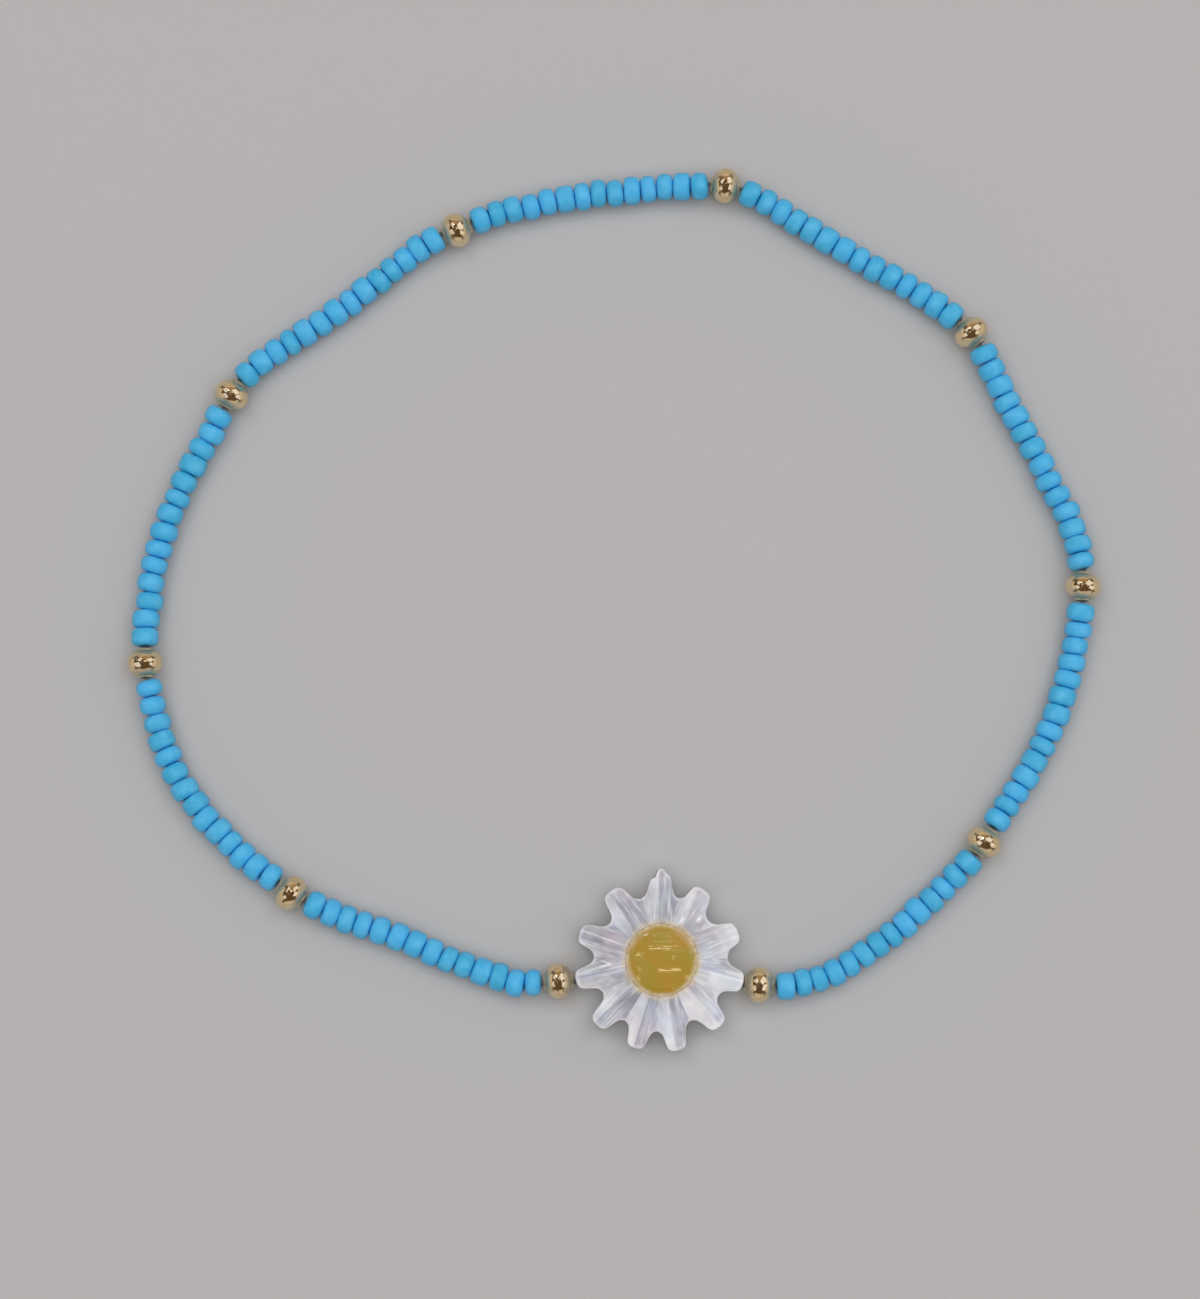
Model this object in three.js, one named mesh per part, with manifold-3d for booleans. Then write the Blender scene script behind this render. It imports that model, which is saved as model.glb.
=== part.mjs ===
// A stretch bracelet lying flat: nine runs of turquoise seed beads with gold balls between them,
// and a carved mother-of-pearl daisy. Millimetres, +Z up. The origin is the middle of the loop, on
// the surface that it rests on. The daisy lies towards -Y.
import * as THREE from 'three';
import { mergeVertices } from 'three/addons/utils/BufferGeometryUtils.js';
import Module from 'manifold-3d';

const wasm = await Module();
wasm.setup();

const UP = new THREE.Vector3(0, 0, 1);

const TURNING_GAP = 0.16; // room between a gold bead and a seed bead where the thread turns

const CORD = { diameter: 0.5, sides: 8 };

// A ball a little flat along its bore, with a short neck at each end.
const GOLD_BEAD = {
  diameter: 2.5,
  ballLength: 1.8,
  length: 2.06,
  neck: 1.06,
  bore: 0.96,
  sides: 12,
  arcSteps: 6,
};

const SEED_BEAD = {
  perRun: 14,
  diameter: 1.92, // size 11/0
  rim: 1.24, // across the rim round the hole, where two beads meet
  bore: 0.84,
  sides: 8,
  shoulder: 0.25, // share of the bead's length from each end to its full width
  beadsPerBoreStep: 2,
};

// Glass seed beads are cut from a drawn tube and no two are quite alike. These are the most that a
// bead departs from the mean: in length and width as shares, sideways in mm, and in the slope of
// its ends. The scatter's numbers only spread the departures evenly.
const UNEVENNESS = { length: 0.1, width: 0.03, sideways: 0.08, lean: 0.09 };
const SCATTER = { bead: 12.9898, trait: 78.233, spread: 43758.5453 };

const THREAD_HEIGHT = {
  gold: GOLD_BEAD.diameter / 2, // through the gold beads and the daisy
  seed: 1.0, // through the seed beads, which lie on the surface
  dropStart: 1.3, // distances from a gold bead's middle
  dropEnd: 4.2,
};

// One row for each gold bead, anticlockwise from the left as seen from above, with the run of seed
// beads that leads from it to the next. x and y are the gold bead's middle. The three bows say how
// far the run stands out from a straight line, a quarter, a half and three quarters of the way.
const LOOP = [
  { name: 'left', x: -32.85, y: -4.0, bows: [1.75, 2.35, 1.65] },
  { name: 'lower_left', x: -22.5, y: -20.05, bows: [0.55, 0.75, 1.1] },
  { name: 'daisy_left', x: -3.9, y: -26.15, bows: null }, // here the daisy follows
  { name: 'daisy_right', x: 10.04, y: -26.4, bows: [2.0, 2.0, 1.3] },
  { name: 'lower_right', x: 25.75, y: -16.5, bows: [1.0, 1.5, 1.1] },
  { name: 'right', x: 32.85, y: 1.4, bows: [1.0, 0.7, 0.35] },
  { name: 'upper_right', x: 25.15, y: 19.4, bows: [0.5, 0.4, 0.5] },
  { name: 'top', x: 7.85, y: 29.9, bows: [0.65, 0.95, 0.85] },
  { name: 'upper_left', x: -11.15, y: 26.7, bows: [0.55, 0.35, 0.65] },
  { name: 'far_left', x: -26.95, y: 14.95, bows: [1.0, 1.6, 1.25] },
];

const DAISY = {
  x: 3.25,
  y: -24.7,
  bore: 0.84,
  boreSides: 12,
  seatRadius: 2.5, // the ridges and valleys begin here
  seatFloor: 2.1,
  notchRadius: 4.6, // the valleys are deepest here
  outerRadius: 6.1,
  ridge: [2.75, 2.4], // a petal ridge's height at the seat and at the outer radius
  valley: [0.12, 0.6], // the valleys' depth below it at the seat and at the notch radius
  sideRound: 0.3,
};

// One row for each petal, anticlockwise from the one at the top. They are ground by hand. angle is
// the ridge's, from +X. tip and notch say how far out the petal and the notch after it end. ground
// says how much further its tip's two corners are ground back, the clockwise one first.
const PETALS = [
  { angle: 90, tip: 6.35, notch: 4.5, ground: [0.3, 0.6] },
  { angle: 126.5, tip: 5.95, notch: 4.4 },
  { angle: 162, tip: 6.0, notch: 4.7 },
  { angle: 193, tip: 6.1, notch: 4.65 },
  { angle: 225, tip: 6.35, notch: 4.9 },
  { angle: 253, tip: 6.35, notch: 4.95 },
  { angle: 279.5, tip: 6.35, notch: 4.65 },
  { angle: 311.5, tip: 6.1, notch: 4.65 },
  { angle: 344.3, tip: 5.86, notch: 4.6 },
  { angle: 380, tip: 5.65, notch: 4.25 },
  { angle: 420, tip: 5.7, notch: 4.45 },
];
const CORNER_SHARE = 0.25; // the share of the way to the notch at which a corner is ground the most

// Half of a petal's edge, from the ridge to the middle of the notch. share is of the angle between
// them. reach is 1 at the tip and 0 at the notch.
const PETAL_EDGE = [
  { share: 0, reach: 1 },
  { share: 0.2, reach: 0.98 },
  { share: 0.38, reach: 0.88 },
  { share: 0.47, reach: 0.66 },
  { share: 0.58, reach: 0.34 },
  { share: 0.72, reach: 0.11 },
  { share: 1, reach: 0 },
];

// The daisy's centre is a low cabochon in the seat, bedded all round and below. width is a share of
// its full width, height is above its back.
const CENTRE = { radius: DAISY.seatRadius - 0.08, gapBelow: 0.06, sides: 28 };
const CENTRE_OUTLINE = [
  { width: 0, height: 0 },
  { width: 0.96, height: 0 },
  { width: 1, height: 0.1 },
  { width: 1, height: 0.55 },
  { width: 0.88, height: 0.78 },
  { width: 0.5, height: 0.92 },
  { width: 0, height: 0.98 },
];

const MATERIALS = {
  seed: new THREE.MeshStandardMaterial({ color: 0x3fa3dc, roughness: 0.35, metalness: 0 }),
  gold: new THREE.MeshStandardMaterial({ color: 0xd9b36a, roughness: 0.12, metalness: 1 }),
  pearl: new THREE.MeshStandardMaterial({ color: 0xd6d5dd, roughness: 0.25, metalness: 0 }),
  yellow: new THREE.MeshStandardMaterial({ color: 0xb0892a, roughness: 0.2, metalness: 0 }),
  cord: new THREE.MeshStandardMaterial({ color: 0xe6e8ea, roughness: 0.3, metalness: 0 }),
};

// --- Closed solids ---

/** Merges the vertices that lie on each other and drops the triangles that this leaves empty. */
function closeSolid(geometry) {
  geometry.deleteAttribute('normal');
  geometry.deleteAttribute('uv');
  const solid = mergeVertices(geometry, 1e-4);
  const corners = Array.from(solid.index.array);
  const kept = [];
  for (let i = 0; i < corners.length; i += 3) {
    const [a, b, c] = corners.slice(i, i + 3);
    if (a !== b && b !== c && c !== a) kept.push(a, b, c);
  }
  solid.setIndex(kept);
  return solid;
}

function toManifold(geometry) {
  const vertProperties = new Float32Array(geometry.attributes.position.array);
  const triVerts = new Uint32Array(geometry.index.array);
  return new wasm.Manifold(new wasm.Mesh({ numProp: 3, vertProperties, triVerts }));
}

function fromManifold(solid) {
  const { vertProperties, triVerts } = solid.getMesh();
  const geometry = new THREE.BufferGeometry();
  geometry.setAttribute('position', new THREE.Float32BufferAttribute(vertProperties, 3));
  geometry.setIndex(Array.from(triVerts));
  return geometry;
}

/**
 * A lathe with its vertices put where place says. place gets the number of a segment, counted
 * right-handed about the axis, and the number of an outline point, and gives a Vector3.
 */
function placedLathe(outline, segments, place) {
  const geometry = new THREE.LatheGeometry(outline, segments);
  const { position, uv } = geometry.attributes;
  for (let i = 0; i < position.count; i += 1) {
    const segment = Math.round(uv.getX(i) * segments) % segments;
    const point = Math.round(uv.getY(i) * (outline.length - 1));
    position.setXYZ(i, ...place(segment, point));
  }
  return closeSolid(geometry);
}

// --- The thread's route ---

/** The thread from one gold bead's middle to the next one's, along a run of seed beads. */
class RunCurve extends THREE.Curve {
  constructor(start, end, bows) {
    super();
    this.start = start;
    this.end = end;
    this.bows = bows;
    this.chord = start.distanceTo(end);
    this.outward = end.clone().sub(start).normalize().cross(UP);
  }

  /** A quartic that is nil at both ends and passes through the three bows. */
  bulge(t) {
    const [quarter, half, threeQuarter] = this.bows;
    const [before, middle, after] = [quarter / (3 / 16), half / (1 / 4), threeQuarter / (3 / 16)];
    const u = 4 * t - 2; // -1, 0 and 1 at the three bows
    const [slope, curvature] = [(after - before) / 2, (after + before) / 2 - middle];
    return t * (1 - t) * (middle + slope * u + curvature * u * u);
  }

  getPoint(t, target = new THREE.Vector3()) {
    target.lerpVectors(this.start, this.end, t).addScaledVector(this.outward, this.bulge(t));
    const distance = Math.min(t, 1 - t) * this.chord;
    const { gold, seed, dropStart, dropEnd } = THREAD_HEIGHT;
    target.z -= (gold - seed) * THREE.MathUtils.smoothstep(distance, dropStart, dropEnd);
    return target;
  }
}

/** The horizontal direction that points out of the loop, from a direction along it. */
function outwardOf(tangent) {
  return tangent.clone().cross(UP).normalize();
}

const goldMiddles = LOOP.map(({ x, y }) => new THREE.Vector3(x, y, THREAD_HEIGHT.gold));
const stretches = LOOP.map(({ bows }, i) => {
  const start = goldMiddles[i];
  const end = goldMiddles[(i + 1) % LOOP.length];
  return bows ? new RunCurve(start, end, bows) : new THREE.LineCurve3(start, end);
});

// --- Gold beads ---

/**
 * A ball, flattened along Y, with a neck at each end and a bore. Its widest ring has one corner
 * straight up and one straight down.
 */
function goldBeadGeometry() {
  const { diameter, ballLength, length, neck, bore, sides, arcSteps } = GOLD_BEAD;
  const steepest = Math.acos(neck / diameter);
  const outline = [bore, neck].map((width) => new THREE.Vector2(width / 2, -length / 2));
  for (let i = 0; i <= arcSteps; i += 1) {
    const angle = steepest * ((2 * i) / arcSteps - 1);
    const along = ((ballLength / 2) * Math.sin(angle)) / Math.sin(steepest);
    outline.push(new THREE.Vector2((diameter / 2) * Math.cos(angle), along));
  }
  outline.push(...[neck, bore].map((width) => new THREE.Vector2(width / 2, length / 2)), outline[0]);
  return closeSolid(new THREE.LatheGeometry(outline, sides));
}

function addGoldBeads(group) {
  const geometry = goldBeadGeometry();
  LOOP.forEach(({ name }, i) => {
    const arriving = stretches.at(i - 1).getTangent(1);
    const leaving = stretches[i].getTangent(0);
    const bead = new THREE.Mesh(geometry, MATERIALS.gold);
    bead.name = `gold_bead_${name}`;
    bead.position.copy(goldMiddles[i]);
    bead.rotation.z = Math.atan2(arriving.y + leaving.y, arriving.x + leaving.x) - Math.PI / 2;
    group.add(bead);
  });
}

// --- Seed beads ---

/** How far a bead departs from the mean in one trait, always the same for the same bead. */
function uneven(bead, trait) {
  const order = Object.keys(UNEVENNESS).indexOf(trait) + 1;
  const value = Math.sin(bead * SCATTER.bead + order * SCATTER.trait) * SCATTER.spread;
  return UNEVENNESS[trait] * (2 * (value - Math.floor(value)) - 1);
}

/** The seed beads of a run, with where each one starts along its curve. */
function seedBeadsOf(curve, firstBead) {
  const reach = GOLD_BEAD.length / 2 + TURNING_GAP;
  const beads = Array.from({ length: SEED_BEAD.perRun }, (_, i) => ({
    length: 1 + uneven(firstBead + i, 'length'),
    radius: (SEED_BEAD.diameter / 2) * (1 + uneven(firstBead + i, 'width')),
    sideways: uneven(firstBead + i, 'sideways'),
    lean: uneven(firstBead + i, 'lean'),
  }));
  const total = beads.reduce((sum, { length }) => sum + length, 0);
  let start = reach;
  for (const bead of beads) {
    bead.length *= (curve.getLength() - 2 * reach) / total;
    bead.start = start;
    start += bead.length;
  }
  return beads;
}

/** The distances along a run at which its bore, and the cord in it, change direction. */
function boreSteps(beads) {
  const steps = beads.filter((_, i) => i % SEED_BEAD.beadsPerBoreStep === 0).map(({ start }) => start);
  const last = beads.at(-1);
  return [...steps, last.start + last.length];
}

/** The rings of a run's surface: out over the beads to the far end, and back through the bore. */
function seedRings(beads) {
  const rings = [];
  const straight = { sideways: 0, lean: 0 };
  const rim = SEED_BEAD.rim / 2;
  beads.forEach((bead, i) => {
    const { start, length, radius, sideways, lean } = bead;
    const before = beads[i - 1];
    const meeting = before
      ? { sideways: (before.sideways + sideways) / 2, lean: (before.lean + lean) / 2 }
      : straight;
    rings.push({ along: start, radius: rim, ...meeting });
    for (const share of [SEED_BEAD.shoulder, 1 - SEED_BEAD.shoulder]) {
      rings.push({ along: start + share * length, radius, sideways, lean });
    }
  });
  const steps = boreSteps(beads).reverse();
  rings.push({ along: steps[0], radius: rim, ...straight });
  for (const along of steps) rings.push({ along, radius: SEED_BEAD.bore / 2, ...straight });
  return [...rings, rings[0]];
}

function seedRunGeometry(curve, beads) {
  const rings = seedRings(beads);
  const outline = rings.map(({ radius, along }) => new THREE.Vector2(radius, along));
  return placedLathe(outline, SEED_BEAD.sides, (segment, point) => {
    const { along, radius, sideways, lean } = rings[point];
    const u = along / curve.getLength();
    const outward = outwardOf(curve.getTangentAt(u));
    const forward = UP.clone().cross(outward);
    const angle = (segment / SEED_BEAD.sides) * 2 * Math.PI;
    const across = radius * Math.sin(angle);
    return curve
      .getPointAt(u)
      .addScaledVector(outward, across + sideways)
      .addScaledVector(forward, -across * lean)
      .addScaledVector(UP, radius * Math.cos(angle));
  });
}

function addSeedBeads(group) {
  const runs = stretches.filter((curve) => curve instanceof RunCurve);
  runs.forEach((curve, i) => {
    const beads = seedBeadsOf(curve, i * SEED_BEAD.perRun);
    const mesh = new THREE.Mesh(seedRunGeometry(curve, beads), MATERIALS.seed);
    mesh.name = `seed_beads_${i + 1}`;
    group.add(mesh);
  });
}

// --- Elastic cord ---

/** The cord's middle and its outward direction at each step round the loop. */
function cordSteps() {
  const steps = [];
  let run = 0;
  stretches.forEach((curve, i) => {
    const arriving = stretches.at(i - 1).getTangent(1);
    const outward = outwardOf(arriving.add(curve.getTangent(0)));
    steps.push({ middle: goldMiddles[i], outward });
    if (!(curve instanceof RunCurve)) return;
    for (const along of boreSteps(seedBeadsOf(curve, run * SEED_BEAD.perRun))) {
      const u = along / curve.getLength();
      steps.push({ middle: curve.getPointAt(u), outward: outwardOf(curve.getTangentAt(u)) });
    }
    run += 1;
  });
  return steps;
}

function addCord(group) {
  const steps = cordSteps();
  const geometry = new THREE.TorusGeometry(1, CORD.diameter / 2, CORD.sides, steps.length);
  const { position, uv } = geometry.attributes;
  for (let i = 0; i < position.count; i += 1) {
    const { middle, outward } = steps[Math.round(uv.getX(i) * steps.length) % steps.length];
    const angle = uv.getY(i) * 2 * Math.PI;
    const point = middle
      .clone()
      .addScaledVector(outward, (CORD.diameter / 2) * Math.cos(angle))
      .addScaledVector(UP, (CORD.diameter / 2) * Math.sin(angle));
    position.setXYZ(i, ...point);
  }
  const mesh = new THREE.Mesh(closeSolid(geometry), MATERIALS.cord);
  mesh.name = 'elastic_cord';
  group.add(mesh);
}

// --- Daisy ---

/** How far out a petal's edge lies at a row of PETAL_EDGE, with one of its corners ground back. */
function edgeRadius({ share, reach }, tip, notch, ground) {
  const corner = THREE.MathUtils.smoothstep(share, 0, CORNER_SHARE) * reach ** 2;
  return notch + reach * (tip - notch) - corner * ground;
}

/** The points of the daisy's edge, anticlockwise, each with its share of the way to a valley. */
function petalEdge() {
  const edge = [];
  const back = PETAL_EDGE.slice(1, -1).reverse();
  PETALS.forEach(({ angle, tip, notch, ground: [, corner] = [0, 0] }, i) => {
    const next = PETALS[(i + 1) % PETALS.length];
    const [nextCorner] = next.ground ?? [0];
    const turn = (((next.angle - angle) % 360) + 360) % 360;
    for (const row of PETAL_EDGE) {
      const { share } = row;
      const radius = edgeRadius(row, tip, notch, corner);
      edge.push({ angle: angle + (share * turn) / 2, radius, share });
    }
    for (const row of back) {
      const { share } = row;
      const radius = edgeRadius(row, next.tip, notch, nextCorner);
      edge.push({ angle: angle + turn - (share * turn) / 2, radius, share });
    }
  });
  return edge;
}

/** The height of the carved face at a radius and a share of the way from a ridge to a valley. */
function faceHeight(radius, share) {
  const { seatRadius, notchRadius, outerRadius, ridge, valley } = DAISY;
  const { lerp, inverseLerp } = THREE.MathUtils;
  const out = inverseLerp(seatRadius, outerRadius, radius);
  const deep = Math.min(1, inverseLerp(seatRadius, notchRadius, radius));
  return lerp(...ridge, out) - lerp(...valley, deep) * share;
}

/** Radius and height of the daisy's surface, from the middle of its back to that of its seat. */
function daisySection({ radius, share }) {
  const { seatRadius, seatFloor, sideRound } = DAISY;
  const inner = radius - sideRound;
  const between = (seatRadius + inner) / 2;
  return [
    [0, 0],
    [inner, 0],
    [radius, sideRound],
    [radius, faceHeight(radius, share) - sideRound],
    [inner, faceHeight(inner, share)],
    [between, faceHeight(between, share)],
    [seatRadius, faceHeight(seatRadius, share)],
    [seatRadius, seatFloor],
    [0, seatFloor],
  ];
}

/** A closed cylinder along a straight stretch of thread, longer than the stretch itself. */
function rodAlong({ v1, v2 }, diameter, sides) {
  const rod = new THREE.CylinderGeometry(diameter / 2, diameter / 2, 2 * v1.distanceTo(v2), sides);
  rod.rotateZ(Math.atan2(v2.y - v1.y, v2.x - v1.x) - Math.PI / 2);
  rod.translate(...v1.clone().lerp(v2, 0.5));
  return closeSolid(rod);
}

function addDaisy(group) {
  const edge = petalEdge();
  const sections = edge.map(daisySection);
  const outline = sections[0].map(([radius, height]) => new THREE.Vector2(radius, height));
  const petals = placedLathe(outline, edge.length, (segment, point) => {
    const angle = THREE.MathUtils.degToRad(edge[segment].angle);
    const [radius, height] = sections[segment][point];
    return [DAISY.x + radius * Math.cos(angle), DAISY.y + radius * Math.sin(angle), height];
  });
  const thread = stretches.find((curve) => curve instanceof THREE.LineCurve3);
  const bore = rodAlong(thread, DAISY.bore, DAISY.boreSides);
  const bored = toManifold(petals).subtract(toManifold(bore));
  const mesh = new THREE.Mesh(fromManifold(bored), MATERIALS.pearl);
  mesh.name = 'daisy_petals';
  group.add(mesh);
}

function addDaisyCentre(group) {
  const { radius, gapBelow, sides } = CENTRE;
  const outline = CENTRE_OUTLINE.map(({ width, height }) => new THREE.Vector2(width * radius, height));
  const geometry = closeSolid(new THREE.LatheGeometry(outline, sides));
  const mesh = new THREE.Mesh(geometry, MATERIALS.yellow);
  mesh.name = 'daisy_centre';
  mesh.rotation.x = Math.PI / 2;
  mesh.position.set(DAISY.x, DAISY.y, DAISY.seatFloor + gapBelow);
  group.add(mesh);
}

const bracelet = new THREE.Group();
addSeedBeads(bracelet);
addGoldBeads(bracelet);
addDaisy(bracelet);
addDaisyCentre(bracelet);
addCord(bracelet);

export default bracelet;
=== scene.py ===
import logging
import math
from abc import ABC, abstractmethod
from collections.abc import Callable, Sequence
from dataclasses import dataclass, field
from enum import Enum
from functools import partial
from typing import Any, ClassVar

import bmesh
import bpy
from mathutils import Matrix, Vector, noise


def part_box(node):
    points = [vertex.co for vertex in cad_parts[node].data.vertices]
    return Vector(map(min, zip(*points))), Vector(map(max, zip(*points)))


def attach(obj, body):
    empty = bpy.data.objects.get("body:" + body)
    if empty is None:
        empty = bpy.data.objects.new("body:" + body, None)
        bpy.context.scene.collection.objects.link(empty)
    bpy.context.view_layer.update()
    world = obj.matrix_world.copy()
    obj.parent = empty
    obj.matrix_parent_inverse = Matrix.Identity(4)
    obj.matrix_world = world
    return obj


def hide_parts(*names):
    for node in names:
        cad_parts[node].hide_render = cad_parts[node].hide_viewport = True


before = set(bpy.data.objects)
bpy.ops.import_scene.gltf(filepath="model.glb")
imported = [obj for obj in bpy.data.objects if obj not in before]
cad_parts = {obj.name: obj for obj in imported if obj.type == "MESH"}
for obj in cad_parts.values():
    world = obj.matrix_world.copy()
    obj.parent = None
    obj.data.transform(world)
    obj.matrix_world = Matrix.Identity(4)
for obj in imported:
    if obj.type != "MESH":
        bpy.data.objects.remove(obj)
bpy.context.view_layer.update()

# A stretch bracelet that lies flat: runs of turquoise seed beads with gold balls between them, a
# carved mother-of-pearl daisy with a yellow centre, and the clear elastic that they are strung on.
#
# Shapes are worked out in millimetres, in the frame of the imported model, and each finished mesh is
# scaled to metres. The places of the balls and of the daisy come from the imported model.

MM = 0.001  # metres in a millimetre
CRISP_ANGLE = math.radians(50)  # edges that turn by more than this are left crisp
TINY = 1e-4  # millimetres, less than any real distance on the bracelet
CORD_STEPS = 30  # the cord's stretches along each run
UP = Vector((0, 0, 1))
BORE = 0.84  # the hole through every bead, ball and the daisy, in millimetres
BALL_LENGTH = 2.06  # a gold ball's, with its necks
ROOT = "root"  # the one body that everything rides on

Shape = bmesh.types.BMesh
Edge = bmesh.types.BMEdge
Socket = bpy.types.NodeSocket
AddNode = Callable[..., Socket]  # add_node on one material

log = logging.getLogger("bracelet")


# --- Small sums ---


def lerp(a: float, b: float, share: float) -> float:
    """Returns the value that lies a share of the way from a to b."""
    return a + (b - a) * share


def share_of(low: float, high: float, value: float) -> float:
    """Returns how far value is on the way from low to high, kept between 0 and 1."""
    return min(1.0, max(0.0, (value - low) / (high - low)))


def smoothstep(low: float, high: float, value: float) -> float:
    """Returns the same share as share_of, eased at both ends."""
    share = share_of(low, high, value)
    return share * share * (3 - 2 * share)


def bell(value: float, half_width: float) -> float:
    """Returns 1 where value is 0, and less and less away from there."""
    return math.exp(-((value / half_width) ** 2))


def polar(radius: float, angle: float, height: float) -> Vector:
    """Returns the point at a radius, an angle in radians and a height."""
    return Vector((radius * math.cos(angle), radius * math.sin(angle), height))


def node_middle(node: str) -> Vector:
    """Returns the middle of a CAD node's box in millimetres."""
    low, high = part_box(node)
    return (low + high) / 2 / MM


class Trait(Enum):
    """What differs from one seed bead to the next, each with its number in uneven."""

    LENGTH = 1
    WIDTH = 2
    SIDEWAYS = 3
    LEAN = 4
    FORM = 5
    TONE = 6
    OVAL = 7


def uneven(bead: int, trait: Trait) -> float:
    """Draws a number that is always the same for one bead and one trait.

    Args:
        bead: The bead's number on the whole bracelet.
        trait: What the number is for.

    Returns:
        A number from -1 to 1.
    """
    bead_step, trait_step, spread = 12.9898, 78.233, 43758.5453  # large and unrelated
    value = math.sin(bead * bead_step + trait.value * trait_step) * spread
    return 2 * (value - math.floor(value)) - 1


# --- Meshes and objects ---


def finished_mesh(name: str, shape: Shape, scale: float = MM) -> bpy.types.Mesh:
    """Turns a shape in millimetres into a mesh.

    Args:
        name: The mesh's name.
        shape: The shape, which is used up.
        scale: What its sizes are multiplied by, which makes them metres unless it is given.

    Returns:
        The mesh.
    """
    bmesh.ops.scale(shape, vec=(scale, scale, scale), verts=shape.verts)
    mesh = bpy.data.meshes.new(name)
    shape.to_mesh(mesh)
    shape.free()
    return mesh


def add_object(name: str, data: bpy.types.ID) -> bpy.types.Object:
    """Puts something into the scene.

    Args:
        name: The object's name.
        data: Its mesh, curve, light or camera.

    Returns:
        The object, at the origin.
    """
    made = bpy.data.objects.new(name, data)
    bpy.context.scene.collection.objects.link(made)
    return made


def evaluated_mesh(drawn: bpy.types.Object) -> bpy.types.Mesh:
    """Works out an object's modifiers or its bevel.

    Args:
        drawn: The object.

    Returns:
        A new mesh of what it then looks like.
    """
    bpy.context.view_layer.update()
    graph = bpy.context.evaluated_depsgraph_get()
    return bpy.data.meshes.new_from_object(drawn.evaluated_get(graph))


def ring_number(vert: bmesh.types.BMVert, rings: int) -> int:
    """Returns which ring of a sphere of radius 1 a point lies on, counted from the lower pole."""
    return round((1 - math.acos(max(-1, min(1, vert.co.z))) / math.pi) * rings)


def draw_out(shape: Shape, rim: list[Edge], grow: float, rise: float) -> list[Edge]:
    """Draws an open edge out into one more ring of faces.

    Args:
        shape: The shape, round Z.
        rim: Its open edge.
        grow: How many times as wide the new edge is.
        rise: How far up it lies from the old one.

    Returns:
        The new open edge.
    """
    added = bmesh.ops.extrude_edge_only(shape, edges=rim)["geom"]
    verts = [v for v in added if isinstance(v, bmesh.types.BMVert)]
    bmesh.ops.scale(shape, vec=(grow, grow, 1), verts=verts)
    bmesh.ops.translate(shape, vec=(0, 0, rise), verts=verts)
    return [e for e in added if isinstance(e, Edge) and e.is_boundary]


def round_edges(shape: Shape, edges: list[Edge], radius: float, steps: int) -> None:
    """Rounds edges off.

    Args:
        shape: The shape.
        edges: Which of its edges.
        radius: How far back they are rounded.
        steps: How many faces go round.
    """
    bmesh.ops.bevel(
        shape, geom=edges, offset=radius, segments=steps, profile=0.5, affect="EDGES", material=-1
    )


# --- Finishes ---


def srgb(code: str) -> tuple[float, float, float, float]:
    """Turns an sRGB colour into the linear values that a shader takes.

    Args:
        code: The colour as "#RRGGBB".

    Returns:
        Red, green, blue and an alpha of 1.
    """
    shares = [int(code[i : i + 2], 16) / 255 for i in (1, 3, 5)]
    linear = [s / 12.92 if s <= 0.04045 else ((s + 0.055) / 1.055) ** 2.4 for s in shares]
    return (*linear, 1.0)


def fill(tree: bpy.types.NodeTree, node: bpy.types.Node, inputs: dict[str | int, Any]) -> None:
    """Sets what a node's sockets get.

    Args:
        tree: The material's nodes.
        node: The node.
        inputs: By the socket's name or number, a value or the output that feeds it.
    """
    for name, value in inputs.items():
        if isinstance(value, Socket):
            tree.links.new(value, node.inputs[name])
        else:
            node.inputs[name].default_value = value


def add_node(
    tree: bpy.types.NodeTree,
    kind: str,
    inputs: dict[str | int, Any],
    output: str | int = 0,
    **settings: Any,
) -> Socket:
    """Adds a node to a material.

    A colour Mix takes its share at 0 and its colours at 6 and 7, and gives the mix at 2. A MapRange
    takes its value at 0, the range to read at 1 and 2 and the range that it becomes at 3 and 4.

    Args:
        tree: The material's nodes.
        kind: The node's type, without its ShaderNode.
        inputs: What its sockets get, as fill takes it.
        output: Which of its outputs is wanted.
        **settings: The node's own properties.

    Returns:
        That output.
    """
    node = tree.nodes.new(f"ShaderNode{kind}")
    for name, value in settings.items():
        setattr(node, name, value)
    fill(tree, node, inputs)
    return node.outputs[output]


def layered(add: AddNode, colour: Any, layers: Sequence[tuple[Any, str]]) -> Any:
    """Lays colours over a first one.

    Args:
        add: What adds a node.
        colour: The first colour, linear.
        layers: For each colour over it, how much of it there is and its sRGB code.

    Returns:
        The finished colour's output.
    """
    for share, code in layers:
        colour = add("Mix", {0: share, 6: colour, 7: srgb(code)}, 2, data_type="RGBA")
    return colour


@dataclass(frozen=True)
class Mottle:
    """A soft random pattern.

    size_mm is how wide its patches are and detail how many finer layers it has. The part of it
    between the two ends of span becomes the values between the two ends of to.
    """

    size_mm: float
    detail: float = 2.0
    span: tuple[float, float] | None = None
    to: tuple[float, float] = (0.0, 1.0)

    def laid(self, add: AddNode, place: Socket) -> Socket:
        """Lays the pattern out.

        Args:
            add: What adds a node.
            place: The places that it is laid out on, in metres.

        Returns:
            Its output.
        """
        inputs = {"Vector": place, "Scale": 1 / (self.size_mm * MM), "Detail": self.detail}
        pattern = add("TexNoise", inputs)
        if self.span is None:
            return pattern
        return add("MapRange", dict(enumerate((pattern, *self.span, *self.to))))


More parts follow.
